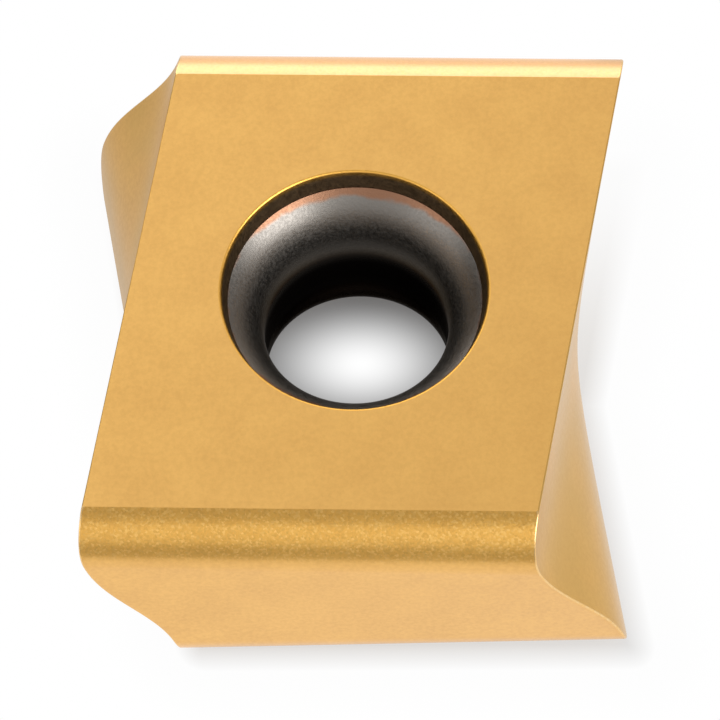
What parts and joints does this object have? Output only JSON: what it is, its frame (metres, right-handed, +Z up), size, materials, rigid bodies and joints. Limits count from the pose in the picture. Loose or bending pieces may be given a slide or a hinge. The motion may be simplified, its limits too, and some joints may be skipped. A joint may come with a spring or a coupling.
{
  "type": "carbide insert",
  "caption": "Rectangular double-sided milling insert with twisted rake faces, rounded nose bands and a bell-mouthed screw hole through its flat faces.",
  "frame": {"origin": "on the axis of the screw hole, in the plane of the lower seating face", "axes": "+Z up along the screw hole, +Y along the cutting edges, +X from rake face to rake face"},
  "size_m": [0.01, 0.0106, 0.0048],
  "materials": {
    "coated_carbide": "satin"
  },
  "bodies": {
    "root": {"insert_body": "coated_carbide"}
  },
  "joints": []
}
